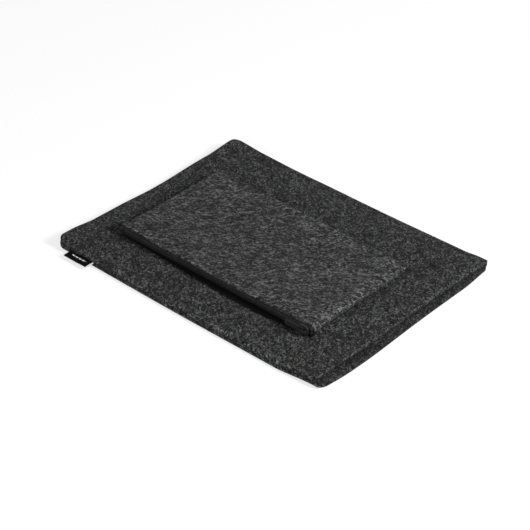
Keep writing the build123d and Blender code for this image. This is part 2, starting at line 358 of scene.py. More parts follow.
def felt_material(name, shade, tint, grain_angle, drawn, contrast):
    """Needled melange felt: black and grey wool matted together, with pale fibres curling over.

    The wool lies along `grain_angle`, and the more `drawn` it is, the longer its clumps.
    """
    s = Shader(name)
    curled = s.warped(5.0 * MM, 6.0 * MM)
    tone = s.spread(s.noise(CLOUD_SIZE, detail=2.0), 0.3, 0.7, *CLOUD_TONES)
    for size, lengthening, turn, depth in FELT_CLUMPS:
        source = s.stretched(lengthening * drawn, grain_angle + turn * (2 - drawn), curled)
        clump = s.noise(size, detail=3.0, roughness=0.68, source=source)
        low, high = 1 - depth * contrast, 1 + CLUMP_PALE_SHARE * depth * contrast
        tone = s.times(tone, s.spread(clump, *CLUMP_NOISE_RANGE, low, high))
    to_dark, to_pale = TUFT_DEPTHS
    for width, turn in FELT_TUFTS:
        source = s.stretched(TUFT_STRETCH * drawn, grain_angle + turn * (2 - drawn), curled)
        low, high = 1 - to_dark * contrast, 1 + to_pale * contrast
        tone = s.times(tone, s.spread(s.tufts(width, source), 0.0, 1.0, low, high))
    tone = s.math("MINIMUM", tone, TONE_CEILING)
    # the felt is made paler or darker per vertex: wear, painted highlights on edges and painted shade
    # on the lining and undercuts
    tone = s.times(tone, s.wear_and_shading(WEAR_AND_SHADING_GAIN))
    hue = s.mix(s.spread(s.noise(12 * MM), 0.35, 0.65), WARM_WOOL, COOL_WOOL)
    base = s.product(s.product(grey(shade), tone), s.product(hue, tint))
    pale, black = 0.0, 0.0
    for size, half_width, turn in FIBRE_KINDS:
        light_source = s.stretched(FIBRE_STRETCH, grain_angle + turn, curled)
        dark_source = s.stretched(FIBRE_STRETCH, grain_angle + turn + DARK_FIBRE_TURN, curled)
        pale = s.math("MAXIMUM", s.strands(size, half_width, light_source), pale)
        black = s.math("MAXIMUM", s.strands(size * DARK_FIBRE_SIZE, half_width, dark_source), black)
    in_black = s.times(black, DARK_FIBRE_SHARE * contrast)
    base = s.mix(in_black, base, grey(shade * DARK_FIBRE_SHADE))
    uneven = s.spread(s.noise(3 * MM), 0.32, 0.60)
    in_pale = s.times(s.times(pale, uneven), PALE_FIBRE_SHARE)
    colour = s.mix(in_pale, base, grey(shade * PALE_FIBRE_SHADE))
    raised = s.math("ADD", tone, s.times(pale, PALE_FIBRE_RELIEF))
    s.bump(s.math("SUBTRACT", raised, black), 0.35 * MM, 0.7)
    gloss = {"Sheen Weight": 0.03, "Sheen Roughness": 0.6, "Specular IOR Level": 0.02}
    return s.finish(colour, 1.0, gloss)


# how much the tape's painted light and painted shade change its colour
TAPE_SHADING_GAIN = 0.75


def tape_material():
    """Black woven polyester tape with a fine herringbone rib, painted paler where it stands high and
    darker low down: painted light and painted shade.
    """
    s = Shader("zip_tape_weave")
    rib = s.wave(0.55 * MM, direction="X", distortion=0.4)
    weft = s.wave(0.4 * MM, direction="Z")
    dust = s.spread(s.noise(3 * MM), 0.3, 0.7, 0.8, 1.25)
    weave = s.times(s.math("ADD", rib, weft), dust)
    colour = s.mix(s.times(weave, 0.5), grey(0.004, 0.0007), grey(0.014, 0.002))
    s.bump(weave, 0.12 * MM, 0.7)
    gloss = {"Sheen Weight": 0.01, "Sheen Roughness": 0.5, "Specular IOR Level": 0.05}
    return s.finish(s.product(colour, s.wear_and_shading(TAPE_SHADING_GAIN)), 0.85, gloss)


def nylon_material():
    """Black nylon monofilament, satin, with faint drawing lines."""
    s = Shader("zip_coil_nylon")
    scuff = s.spread(s.noise(1.4 * MM, detail=3.0), 0.35, 0.7)
    colour = s.mix(scuff, grey(0.005, 0.001), grey(0.016, 0.002))
    roughness = s.spread(s.noise(2.5 * MM), 0.3, 0.7, 0.32, 0.5)
    s.bump(scuff, 0.03 * MM, 0.4)
    return s.finish(colour, roughness, {"Specular IOR Level": 0.3})


def thread_material():
    """Black polyester sewing thread with its twist."""
    s = Shader("sewing_thread")
    twist = s.wave(0.5 * MM, direction="DIAGONAL")
    colour = s.mix(twist, grey(0.004), grey(0.016))
    s.bump(twist, 0.05 * MM, 0.8)
    gloss = {"Sheen Weight": 0.03, "Sheen Roughness": 0.5, "Specular IOR Level": 0.15}
    return s.finish(colour, 0.7, gloss)


def metal_material():
    """Black lacquered zinc, with pale wear where it is rubbed."""
    s = Shader("black_zinc")
    rubbed = s.spread(s.noise(1.2 * MM, detail=4.0, roughness=0.65), 0.56, 0.72)
    colour = s.mix(s.times(rubbed, 0.4), grey(0.010, 0.001), grey(0.07, 0.003))
    roughness = s.spread(s.noise(0.8 * MM, detail=3.0), 0.3, 0.7, 0.40, 0.62)
    s.bump(s.noise(0.5 * MM, detail=2.0), 0.02 * MM, 0.4)
    return s.finish(colour, roughness, {"Metallic": 0.35, "Coat Weight": 0.3, "Coat Roughness": 0.25})


def label_material():
    """Black satin ribbon, woven in fine ribs, with a row of plain pale dashes and a pale end."""
    s = Shader("label_satin")
    rib = s.wave(0.35 * MM, direction="X")
    weft = s.wave(0.3 * MM, direction="Y")
    parts = s.node("SeparateXYZ")
    s.link(s.place, parts.inputs[0])
    along, across = parts.outputs["X"], parts.outputs["Y"]
    at_end = s.math("GREATER_THAN", along, LABEL_LOW.x + LABEL_LENGTH - LABEL_END_BAND)
    from_row = s.math("ABSOLUTE", s.math("SUBTRACT", across, LABEL_ROW_Y))
    in_row = s.math("LESS_THAN", from_row, LABEL_ROW_WIDTH / 2)
    from_middle = s.math("ABSOLUTE", s.math("SUBTRACT", along, LABEL_LOW.x + LABEL_LENGTH / 2))
    in_length = s.math("LESS_THAN", from_middle, LABEL_ROW_LENGTH / 2)
    step = s.math("FRACT", s.math("DIVIDE", along, LABEL_DASH_PITCH))
    in_dash = s.math("LESS_THAN", step, LABEL_DASH_SHARE)
    dashes = s.times(s.times(in_row, in_length), in_dash)
    ribbon = s.mix(rib, grey(0.0008), grey(0.0025))
    thread = s.mix(weft, grey(0.40), grey(0.60))
    colour = s.mix(s.math("MAXIMUM", at_end, dashes), ribbon, thread)
    s.bump(s.math("ADD", rib, weft), 0.05 * MM, 0.5)
    return s.finish(colour, 0.6, {"Specular IOR Level": 0.06})


def floor_material():
    """A white light table's matt top, mostly lit from below, with the faintest tooth."""
    s = Shader("floor_paper")
    tooth = s.spread(s.noise(2 * MM, detail=2.0), 0.3, 0.7)
    colour = s.mix(tooth, grey(0.24), grey(0.26))
    glow = {"Emission Color": (1, 1, 1, 1), "Emission Strength": FLOOR_GLOW}
    return s.finish(colour, 0.9, {"Specular IOR Level": 0.1, **glow})


# ---- felt pockets ----

ROLL_POINTS = 9
LINING_INSET = 3.6 * MM
LINING_SHADE = -0.5  # painted shade: the lining is made darker than the outside
UNDER_CUT_SHADE = -1.0  # painted shade too: the cut edge of the panel underneath is darkened
OUTER_STEP = 2.2 * MM
LINING_STEP = 6.0 * MM
CUT_ROUNDING = 0.45 * MM
CUT_STATION = 1.2 * MM  # the last even station stands this far back from the cut's rounding
CUT_FACE_SHARES = (0.15, 0.85)  # of the felt's thickness, the two lines along its cut face
# how far from the cut its painted highlight (upper panel) and painted shade (panel underneath) reach
CUT_SHADING_REACH = 2.4 * MM
# how far from the fold its wear and painted highlight reach
FOLD_WEAR_AND_HIGHLIGHT_REACH = 30 * MM
FOLD_STEP_DEGREES = 11
MOUTH_FADE = 60 * MM  # how far from the mouth its slant and rounding die out


def fade(distance, reach):
    """1 at no distance, 0 from `reach` on."""
    return 1 - smoothstep(np.abs(distance) / reach)


def corner_fade(along, across, reach_along, reach_across, plateau=0.0):
    """1 at a corner and up to `plateau` of the way out, 0 at the reach."""
    distance = np.hypot(along / reach_along, across / reach_across)
    return 1 - smoothstep((distance - plateau) / (1 - plateau))


def edge_roll(start, tuck, crown, side_wear_and_highlight):
    """(inset, rise, paleness) round a turned edge, from the seam valley (rise 0) to the top (1); the
    paleness is wear with a painted highlight on the shoulder and the widest point.

    Below its widest point the edge goes `tuck` in, and above it `crown` in.
    """
    points = []
    low = math.sin(start)
    for k in range(ROLL_POINTS):
        angle = start + (math.pi / 2 - start) * k / (ROLL_POINTS - 1)
        inset = (tuck if angle < 0 else crown) * (1 - math.cos(angle))
        rise = (math.sin(angle) - low) / (1 - low)
        # paler on the shoulder and at the widest point: wear with a painted highlight
        wear_and_shading = max(math.sin(2 * angle), side_wear_and_highlight * math.cos(angle))
        points.append((inset, rise, wear_and_shading))
    return points


def panel_profile(width, first_roll, last_roll):
    """Fractions across (-1 to 1), insets, rises and paleness (wear with painted highlights) of the
    points across one panel.
    """
    flat_count = int(width / OUTER_STEP)
    row = [(-1.0, *point) for point in first_roll]
    for j in range(1, flat_count):
        fraction = 2.0 * j / flat_count - 1.0
        inset = first_roll[-1][0] if fraction < 0 else last_roll[-1][0]
        row.append((fraction, inset, 1.0, 0.0))
    row += [(1.0, *point) for point in reversed(last_roll)]
    return np.array(row).T


def stations(depth, radius, step):
    """Distances from a fold, close together round the fold and at the cut edge."""
    around = [radius * (1 - math.cos(math.radians(angle))) for angle in range(0, 90, FOLD_STEP_DEGREES)]
    last = depth - CUT_ROUNDING
    near_cut = last - CUT_STATION
    count = int((near_cut - radius) / step)
    straight = [radius + (near_cut - radius) * j / count for j in range(count + 1)]
    return around + straight + [last]


class Pocket:
    """A felt sheet folded across one end and sewn along two sides, open at the other end.

    `along` runs from the fold to the mouth and `across` from side to side, both in metres.
    Each kind of pocket says how high its faces are and how its outline wanders.
    """

    turned = False  # True: fold at +Y and mouth at -Y. False: fold at -X and mouth at +X.
    fold_radius = 0.0
    roll_start = math.radians(-72)  # the angle of the roll where it leaves the seam valley
    roll_tuck = 3.0 * MM  # how far in a turned edge is round below its widest point
    upper_crowns = (3.0 * MM, 3.0 * MM)  # the same above its widest point, at the low and high side
    under_crown = 3.0 * MM  # the same for the panel underneath, which lies flat
    seam_share = 0.5  # the seam's height between the pocket's bottom and its top
    side_wear_and_highlight = 0.0  # how much paler the turned edges are at their widest: wear and a painted highlight
    fold_wear_and_highlight = 0.0  # how much paler the upper panel is along the fold: wear and a painted highlight
    under_inset = 0.0  # how far the panel underneath stands in from the upper one
    under_wear_and_shading = 0.5  # how much paler its turned edges are (wear with painted light), or below 0 darker (painted shade)

    def __init__(self, node):
        self.low, self.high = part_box(node)
        size = self.high - self.low
        self.depth = size.y if self.turned else size.x
        self.half = (size.x if self.turned else size.y) / 2

    def top(self, along, across):
        raise NotImplementedError

    def bottom(self, along, across):
        raise NotImplementedError

    def side_inset(self, along, side):
        """How far the outline stands in from the box on one side, -1 or 1."""
        raise NotImplementedError

    def mouth_inset(self, across, upper_share):
        """How far the cut edge stands in from the box; upper_share is 1 on the upper panel."""
        raise NotImplementedError

    def roll_share(self, along):
        """How round the turned edges are, where 1 is the full roll."""
        return 1.0

    def seam(self, along, across):
        bottom = self.bottom(along, across)
        return bottom + (self.top(along, across) - bottom) * self.seam_share

    def seam_inset(self):
        """How far the seam valley is in from the turned edge beside it."""
        return self.roll_tuck * (1 - math.cos(self.roll_start))

    def place(self, along, across):
        """Frame x and y of a point of the pocket."""
        middle = (self.low + self.high) / 2
        if self.turned:
            return middle.x + across, self.high.y - along
        return self.low.x + along, middle.y + across

    def ring(self, along, inward, opened):
        """One closed section as rows of x, y, z and paleness (wear, painted highlights and painted
        shade); inward is 0 outside and 1 on the lining.

        `opened` is 0 at the fold's line, where the two panels meet, and 1 past the bend.
        """
        rows = []
        for upper in (True, False):
            rolls = []
            for crown in self.upper_crowns:
                if not upper:
                    crown += (self.under_crown - crown) * opened
                rolls.append(edge_roll(self.roll_start, self.roll_tuck, crown, self.side_wear_and_highlight))
            facing = 1 if upper else -1  # the panel underneath also runs the other way across
            fraction, inset, rise, wear_and_shading = panel_profile(2 * self.half, *rolls[::facing])
            fraction = fraction * facing
            left, right = self.side_inset(along, -1), self.side_inset(along, 1)
            side = np.where(fraction < 0, left, right)
            limit = self.half - inset * self.roll_share(along) - inward * LINING_INSET - side
            if not upper:
                limit = limit - self.under_inset * opened * (1 - inward) * (rise > 0)
            across = fraction * limit
            upper_share = np.ones_like(rise) if upper else 1 - rise
            shift = self.mouth_inset(across, upper_share)
            moved = along - shift * smoothstep((along - self.depth + MOUTH_FADE) / MOUTH_FADE)
            surface = self.top if upper else self.bottom
            outer = surface(along, across) - facing * inward * FELT
            seam = self.seam(along, across)
            height = seam + rise * (outer - seam) * opened
            # upper cut arris paler (wear and painted highlight), lower cut darker (painted shade), fold
            # paler, lining darker (painted shade)
            near_cut = 1 - smoothstep((self.depth - along) / CUT_SHADING_REACH)
            cut_shading = near_cut if upper else UNDER_CUT_SHADE * near_cut
            edge_wear_and_shading = wear_and_shading if upper else self.under_wear_and_shading
            outside = (1 - inward) ** 4
            fold_wear_and_highlight = self.fold_wear_and_highlight * fade(along, FOLD_WEAR_AND_HIGHLIGHT_REACH) if upper else 0.0
            worn_and_shaded = (np.where(rise < 1, edge_wear_and_shading, cut_shading) + fold_wear_and_highlight) * outside
            worn_and_shaded = worn_and_shaded + LINING_SHADE * (1 - outside)
            x, y = self.place(moved, across)
            rows.append(np.stack(np.broadcast_arrays(x, y, height, worn_and_shaded), axis=1))
        return np.concatenate(rows)

    def sections(self):
        """(along, inward, fold radii from the fold) out to the mouth and back on the lining."""
        plan = []
        for along in stations(self.depth, self.fold_radius, OUTER_STEP):
            plan.append((along, 0.0, along / self.fold_radius))
        for share in CUT_FACE_SHARES:
            plan.append((self.depth, share, 1.0))
        inner_radius = self.fold_radius - FELT
        for inside in reversed(stations(self.depth - FELT, inner_radius, LINING_STEP)):
            plan.append((inside + FELT, 1.0, inside / inner_radius))
        return plan

    def build(self, name, material, body):
        """The whole felt as one closed mesh."""
        rings, rows = [], []
        for along, inward, from_fold in self.sections():
            opened = math.sqrt(1 - (1 - min(from_fold, 1.0)) ** 2)
            ring = self.ring(along, inward, opened)
            start = sum(len(row) for row in rows)
            rings.append(range(start, start + len(ring)))
            rows.append(ring)
        points = np.concatenate(rows)
        shape, wear_and_shading = points[:, :3], points[:, 3]
        return add_mesh(name, shape, skin(rings), material, body, wear_and_shading=wear_and_shading)


def round_corner_inset(distance, radius):
    """How far a quarter circle stands in, at a distance from the straight side it meets."""
    short = np.clip(radius - distance, 0, radius)
    return radius - np.sqrt(radius**2 - short**2)


# ---- sleeve ----


class Sleeve(Pocket):
    """Near side is across < 0, far side is across > 0."""

    fold_radius = 4.6 * MM
    roll_start = math.radians(-36)
    under_crown = 1.4 * MM
    # painted highlight with wear: the near wall's turned edges are made paler
    side_wear_and_highlight = 0.5
    under_inset = -0.8 * MM
    edge_thickness = 8.2 * MM
    middle_thickness = 10.9 * MM
    middle_slack = 0.3 * MM  # away from its sides the top sags this much
    fold_dip = 3.2 * MM  # the fold is pressed thinner near its middle
    dip_across = 8 * MM  # where that is deepest
    dip_half_width = 45 * MM
    near_fold_rise = 3.6 * MM  # the corners curl up a little
    far_fold_rise = 2.9 * MM
    near_mouth_rise = 1.2 * MM
    far_mouth_rise = 1.8 * MM
    far_side_drop = 0.8 * MM
    far_side_drop_along = 220 * MM
    near_fold_lift = 0.6 * MM  # the same corners of the underside, off the floor
    far_fold_lift = 1.2 * MM
    near_mouth_lift = 2.2 * MM
    near_fold_corner = 9 * MM  # corner radii of the outline
    far_fold_corner = 12 * MM
    upper_mouth_corner = 4.5 * MM
    lower_near_mouth_corner = 11 * MM
    lower_far_mouth_corner = 8 * MM
    far_mouth_slant = 3.0 * MM
    near_side_bow = 0.4 * MM
    near_side_bow_middle = 0.7 * MM
    near_side_bow_along = 170 * MM
    near_mouth_taper = 2.4 * MM
    mouth_bulge = 2.3 * MM
    bulge_middle = -0.5  # where it is, and half its width, as shares of the half width
    bulge_reach = 0.45

    def to_sides(self, across):
        return self.half - np.abs(across)

    def top(self, along, across):
        full = 1 - (1 - fade(along, 45 * MM)) * fade(self.to_sides(across), 32 * MM)
        height = self.edge_thickness + (self.middle_thickness - self.edge_thickness) * full
        off_dip = (across - self.dip_across) / self.dip_half_width
        dip = np.exp(-(off_dip**2)) * fade(along, 70 * MM)
        near, far, to_mouth = self.half + across, self.half - across, self.depth - along
        near_fold = self.near_fold_rise * corner_fade(along, near, 60 * MM, 52 * MM, 0.3)
        far_fold = self.far_fold_rise * corner_fade(along, far, 110 * MM, 45 * MM, 0.1)
        near_mouth = self.near_mouth_rise * corner_fade(to_mouth, near, 60 * MM, 45 * MM)
        far_mouth = self.far_mouth_rise * corner_fade(to_mouth, far, 34 * MM, 28 * MM, 0.2)
        from_drop = along - self.far_side_drop_along
        far_side = self.far_side_drop * fade(far, 30 * MM) * fade(from_drop, 90 * MM)
        waves = 0.5 * MM * soft_noise(along, across, 0.0, 48 * MM, seed=3.0) * full
        lumps = 0.13 * MM * soft_noise(along, across, 0.0, 9 * MM, seed=11.0)
        rises = near_fold + far_fold + near_mouth + far_mouth
        slack = self.middle_slack * full
        return height - slack - self.fold_dip * dip + rises - far_side + waves + lumps

    def bottom(self, along, across):
        near, far, to_mouth = self.half + across, self.half - across, self.depth - along
        near_fold = self.near_fold_lift * corner_fade(along, near, 95 * MM, 50 * MM)
        far_fold = self.far_fold_lift * corner_fade(along, far, 60 * MM, 45 * MM)
        near_mouth = self.near_mouth_lift * corner_fade(to_mouth, near, 60 * MM, 40 * MM)
        return near_fold + far_fold + near_mouth

    def side_inset(self, along, side):
        if side > 0:
            return round_corner_inset(along, self.far_fold_corner)
        inset = round_corner_inset(along, self.near_fold_corner)
        from_bow = along - self.near_side_bow_along
        bow = self.near_side_bow + self.near_side_bow_middle * fade(from_bow, 120 * MM)
        return inset + self.near_mouth_taper * fade(self.depth - along, 55 * MM) - bow

    def mouth_inset(self, across, upper_share):
        far_share = (across + self.half) / (2 * self.half)
        step = MOUTH_STEP_NEAR + (MOUTH_STEP_FAR - MOUTH_STEP_NEAR) * far_share
        upper_corner = round_corner_inset(self.to_sides(across), self.upper_mouth_corner)
        radii = self.lower_near_mouth_corner, self.lower_far_mouth_corner
        lower_corner = round_corner_inset(self.to_sides(across), np.where(across < 0, *radii))
        lower_corner += self.far_mouth_slant * fade(self.half - across, 46 * MM)
        corner = lower_corner + (upper_corner - lower_corner) * upper_share
        off_bulge = (across / self.half - self.bulge_middle) / self.bulge_reach
        bulge = self.mouth_bulge * np.exp(-(off_bulge**2))
        return step * upper_share + corner - bulge


def make_sleeve(felt):
    sleeve = Sleeve("sleeve_felt")
    piece = sleeve.build("sleeve_felt_folded", felt, "sleeve")
    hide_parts("sleeve_felt")
    return sleeve


STITCH_PITCH = 3.2 * MM
STITCH_SLANT = 0.25 * MM
STITCH_THREAD = 0.28 * MM  # radius
STITCH_PROUD = 0.2 * MM  # how far the thread stands out of the seam valley
STITCH_SHARES = (0.12, 0.5, 0.88)  # of each pitch, where its stitch starts, bends and ends


def seam_stitches(pocket, side, node, body, thread):
    """A row of slanted stitches along one of a pocket's seam valleys."""
    low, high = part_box(node)
    run = high - low
    length = run.y if pocket.turned else run.x
    start = (pocket.depth - length) / 2
    count = int(length / STITCH_PITCH)
    points = []
    for k in range(count + 1):
        along = start + length * k / count
        inset = pocket.seam_inset() - STITCH_PROUD + float(pocket.side_inset(along, side))
        across = side * (pocket.half - inset)
        height = float(pocket.seam(along, np.full(1, across))[0])
        x, y = pocket.place(along, across)
        points.append(Vector((x, y, height + (STITCH_SLANT if k % 2 else -STITCH_SLANT))))
    shapes = []
    for first, second in zip(points, points[1:]):
        ends = [first.lerp(second, share) for share in STITCH_SHARES]
        shapes.append(tube(ends, STITCH_THREAD, sides=6))
    vertices, faces = join_shapes(shapes)
    row = add_mesh(node + "_stitches", vertices, faces, thread, body)
    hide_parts(node)


# ---- label ----

LABEL_LEAF = 0.4 * MM
LABEL_LENGTH = LABEL_HIGH.x - LABEL_LOW.x + 2.3 * MM
LABEL_END_BAND = 0.5 * MM
LABEL_ROW_Y = LABEL_LOW.y + 5.8 * MM
LABEL_ROW_WIDTH = 1.6 * MM
LABEL_ROW_LENGTH = 19 * MM
LABEL_DASH_PITCH = 4.6 * MM
LABEL_DASH_SHARE = 0.72  # of each pitch
LABEL_ROOT_DROP = 0.2 * MM  # how far below the seam the ribbon's middle starts
LABEL_RIPPLE = 0.15 * MM
LABEL_RIPPLE_TURN = 9  # radians from end to end
LABEL_OPENING = 0.10 * MM  # half the gap inside the loop at its ends
LABEL_OPENING_MIDDLE = 0.35 * MM  # and how much more it is in between
LABEL_COLUMNS = 18
LABEL_ROWS = 14
LABEL_EDGE_LEFT = 3.9 * MM  # height of the loop's free edge at each end
LABEL_EDGE_RIGHT = 4.3 * MM
LABEL_DROP = 0.45  # share of the ribbon over which it comes down from the seam


def label_loop(sleeve, x):
    """The ribbon's outer line at one x, from its upper root round the free edge to its lower root."""
    right_share = (x - LABEL_LOW.x) / LABEL_LENGTH
    root_z = float(sleeve.seam(x - SLEEVE_LOW.x, np.full(1, SLEEVE_LOW.y))[0]) - LABEL_ROOT_DROP
    edge_z = LABEL_EDGE_LEFT + (LABEL_EDGE_RIGHT - LABEL_EDGE_LEFT) * right_share
    edge_z += LABEL_RIPPLE * math.sin(LABEL_RIPPLE_TURN * right_share)
    upper, lower = [], []
    for k in range(LABEL_ROWS + 1):
        share = k / LABEL_ROWS
        y = LABEL_HIGH.y + (LABEL_LOW.y - LABEL_HIGH.y) * share
        z = root_z + (edge_z - root_z) * smoothstep(share / LABEL_DROP)
        opening = LABEL_OPENING + LABEL_OPENING_MIDDLE * math.sin(math.pi * share**2)
        upper.append(Vector((x, y, z + opening + LABEL_LEAF)))
        lower.append(Vector((x, y, z - opening - LABEL_LEAF)))
    return upper + lower[::-1]


def make_label(sleeve, satin):
    """A ribbon folded into a flat loop, its root in the seam and its free edge just off the floor."""
    vertices, rings = [], []
    for j in range(LABEL_COLUMNS + 1):
        x = LABEL_LOW.x + LABEL_LENGTH * j / LABEL_COLUMNS
        outer = label_loop(sleeve, x)
        rings.append(range(len(vertices), len(vertices) + 2 * len(outer)))
        vertices += outer + beside(outer, LABEL_LEAF)[::-1]
    faces = skin(rings) + end_faces(rings[0]) + end_faces(rings[-1])
    label = add_mesh("woven_label_loop", vertices, faces, satin, "sleeve")
    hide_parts("woven_label")


# ---- pouch ----


class Pouch(Pocket):
    """Left is across < 0. The zip holds the mouth up, and the fold stands highest at the left."""

    turned = True
    fold_radius = 5.5 * MM
    roll_tuck = 4.5 * MM
    upper_crowns = (8.5 * MM, 13.0 * MM)
    seam_share = 0.22
    under_inset = 4.0 * MM
    # painted shade: the underside's turned edges are darkened where the pouch overhangs the sleeve
    under_wear_and_shading = -1.3
    # wear and a painted highlight: paler along the folded back
    fold_wear_and_highlight = 0.4
    fold_proud = 2.0 * MM  # how far the folded end is pushed out past the flat sheet's end
    base = POUCH_LOW.z + 0.1 * MM
    back_left_thickness = 12.4 * MM
    back_right_thickness = 10.2 * MM
    front_thickness = 12.8 * MM
    rim_drop = 0.5 * MM  # how much lower the top is beside its turned edges
    front_sag = 1.2 * MM
    middle_sag = 1.5 * MM
    side_lift = 1.3 * MM  # the underside curls up at its edges
    fold_lift = 0.6 * MM
    mouth_lift = 1.0 * MM
    fold_corner = 9 * MM
    mouth_corner = 1.0 * MM
    mouth_taper = 0.4 * MM
    right_side_inset = 1.6 * MM
    under_mouth_inset = 1.6 * MM  # room for the lower tape in front of the lower panel
    mouth_bow = 2.5 * MM
    mouth_proud = 0.9 * MM
    mouth_flatness = 0.7  # how much of the roll is gone at the mouth

    def thickness(self, along, across):
        right_share = smoothstep(0.5 + across / (2 * self.half))
        back = self.back_left_thickness
        back = back + (self.back_right_thickness - back) * right_share
        return back + (self.front_thickness - back) * smoothstep(along / self.depth)

    def top(self, along, across):
        inside = smoothstep((self.half - np.abs(across)) / (26 * MM))
        hang = 1 - (across / self.half) ** 2
        front_sag = self.front_sag * smoothstep(along / self.depth) * hang
        share = np.clip(along / self.depth, 0, 1)
        middle_sag = self.middle_sag * np.sin(math.pi * share) ** 2 * inside
        waves = 0.8 * MM * soft_noise(along, across, 1.0, 52 * MM, seed=7.0) * inside
        lumps = 0.15 * MM * soft_noise(along, across, 1.0, 11 * MM, seed=19.0)
        height = self.base + self.thickness(along, across) - self.rim_drop * (1 - inside)
        return height - front_sag - middle_sag + waves + lumps

    def bottom(self, along, across):
        side_lift = self.side_lift * fade(self.half - np.abs(across), 14 * MM)
        fold_lift = self.fold_lift * fade(along, 20 * MM)
        mouth_lift = self.mouth_lift * fade(self.depth - along, 16 * MM)
        return self.base + side_lift + fold_lift + mouth_lift

    def side_inset(self, along, side):
        taper = self.mouth_taper * fade(self.depth - along, 30 * MM)
        inset = round_corner_inset(along, self.fold_corner) + taper
        return inset + (self.right_side_inset if side > 0 else 0.0)

    def mouth_inset(self, across, upper_share):
        bow = self.mouth_bow * (across / self.half) ** 2 - self.mouth_proud
        behind_tape = self.under_mouth_inset * (1 - upper_share)
        corner = round_corner_inset(self.half - np.abs(across), self.mouth_corner)
        return bow + behind_tape + corner

    def roll_share(self, along):
        return 1 - self.mouth_flatness * fade(self.depth - along, 25 * MM)

    def place(self, along, across):
        x, y = super().place(along, across)
        return x, y + self.fold_proud * fade(along, 70 * MM)


def make_pouch(felt):
    pouch = Pouch("pouch_felt")
    piece = pouch.build("pouch_felt_folded", felt, "pouch")
    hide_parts("pouch_felt")
    return pouch


# ---- zip ----

COIL_PITCH = 1.35 * MM
COIL_WIRE = 0.32 * MM  # radius
COIL_OVERLAP = 0.35 * MM  # how far each coil's heads reach past the middle
COIL_LEAN = 0.18  # how far each turn leans along the coil, as a share of its pitch
COIL_POINTS = 12  # points in a turn
COIL_END_INSET = 0.5 * MM  # the coils end this far inside the slider's end
COILS = {  # which way each row lies from the zip's middle line, and its box
    "upper": (1, UPPER_COIL_LOW, UPPER_COIL_HIGH),
    "lower": (-1, LOWER_COIL_LOW, LOWER_COIL_HIGH),
}
COIL_THREAD = 0.14 * MM  # radius
COIL_THREAD_POINTS = 6
COIL_THREAD_PROUD = 0.12 * MM
COIL_THREAD_DIP = 0.35 * MM
COIL_THREAD_INSET = 0.62 * MM  # from the coil's outer side
COIL_THREAD_SWAY = 0.12 * MM

TAPE_THICKNESS = 0.5 * MM
TAPE_STEP = 3 * MM
TAPE_RIPPLE = 0.08 * MM
TAPE_HEM_DROP = 5.9 * MM  # how far below the coils the lower tape turns under the felt
TAPE_SWELL = 6.0 * MM  # how far its turn bellies out past the middle of its length
TAPE_SWELL_SKEW = 1.6  # over 1, the swelling is largest to the right of the middle
TAPE_SWELL_START = 4.5 * MM  # and how far below the coils that starts, to clear the slider
TAPE_SHADING_REACH = 4.0 * MM  # height above the coils over which the tape's painted light grows by 1; below them it turns to painted shade
TAPE_SHADING_RANGE = (-1.1, 2.0)


def upper_tape_line():
    """(y, height above the coils) from where the tape is sewn inside the felt, in to the coil."""
    felt_y = POUCH_LOW.y
    sewn = TAPE_HIGH.z - ZIP_Z - TAPE_THICKNESS
    return [
        (TAPE_HIGH.y, sewn),
        (felt_y + 6 * MM, sewn),
        (felt_y + 2.2 * MM, sewn - 0.05 * MM),
        (felt_y + 0.5 * MM, sewn + 0.05 * MM),
        (felt_y - 0.5 * MM, sewn - 0.25 * MM),
        (felt_y - 0.7 * MM, 1.5 * MM),
        (felt_y - 0.4 * MM, 0.5 * MM),
    ]


def lower_tape_line():
    """(y, depth below the coils) from under the felt, round its cut edge and in to the coil."""
    felt_y = POUCH_LOW.y
    return [
        (felt_y + 4.5 * MM, TAPE_HEM_DROP),
        (felt_y + 1.5 * MM, TAPE_HEM_DROP),
        (felt_y - 0.6 * MM, TAPE_HEM_DROP - 0.15 * MM),
        (felt_y - 0.9 * MM, TAPE_HEM_DROP - 0.9 * MM),
        (felt_y - 0.4 * MM, 4.2 * MM),
        (felt_y - 0.4 * MM, 2.6 * MM),
        (felt_y - 0.7 * MM, 1.5 * MM),
        (felt_y - 0.4 * MM, 0.5 * MM),
    ]


def zip_tape(row, weave):
    """A woven strip between the felt and one row of the zip."""
    side = COILS[row][0]
    line = upper_tape_line() if side > 0 else lower_tape_line()
    smooth_line = curve_through([(y, ZIP_Z + side * height) for y, height in line], 5)
    strip(row + "_zip_tape_woven", smooth_line, weave, row + "_zip_tape")


def curve_through(points, steps):
    """A smooth line through points in y and z (Catmull-Rom)."""
    padded = [points[0]] + points + [points[-1]]
    line = []
    for a, b, c, d in zip(padded, padded[1:], padded[2:], padded[3:]):
        for k in range(steps):
            t = k / steps
            weights = (
                0.5 * (-t + 2 * t**2 - t**3),
                0.5 * (2 - 5 * t**2 + 3 * t**3),
                0.5 * (t + 4 * t**2 - 3 * t**3),
                0.5 * (-(t**2) + t**3),
            )
            y, z = 0.0, 0.0
            for weight, point in zip(weights, (a, b, c, d)):
                y += weight * point[0]
                z += weight * point[1]
            line.append((y, z))
    line.append(points[-1])
    return line


